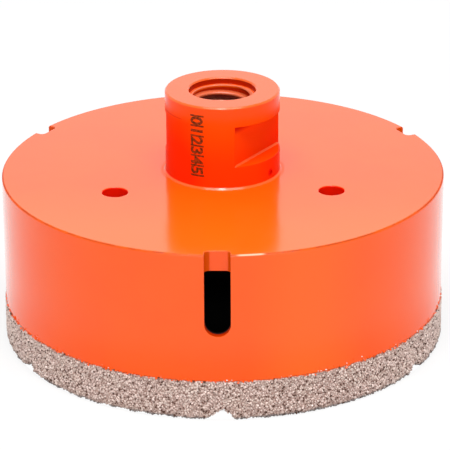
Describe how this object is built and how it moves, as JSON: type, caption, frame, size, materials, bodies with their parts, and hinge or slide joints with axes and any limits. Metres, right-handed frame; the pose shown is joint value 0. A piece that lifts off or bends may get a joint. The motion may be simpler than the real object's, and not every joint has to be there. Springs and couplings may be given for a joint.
{
  "type": "diamond core bit",
  "caption": "Cup-shaped core bit with a slotted steel barrel, a brazed grit crown, a vented end plate and a threaded hub with spanner flats.",
  "frame": {"origin": "on the bit's axis, in the plane of the cutting edge that it stands on", "axes": "+Z along the bit's axis from the cutting edge to the spindle socket; -Y through the middle of the first side slot"},
  "size_m": [0.105, 0.105, 0.0604],
  "materials": {
    "orange_paint": "glossy orange paint on turned and welded steel",
    "brazed_grit": "coarse diamond grit held in a nickel braze"
  },
  "bodies": {
    "root": {"barrel": "orange_paint", "diamond_crown": "brazed_grit", "end_plate": "orange_paint", "hub": "orange_paint", "hub_weld": "orange_paint"}
  },
  "joints": []
}
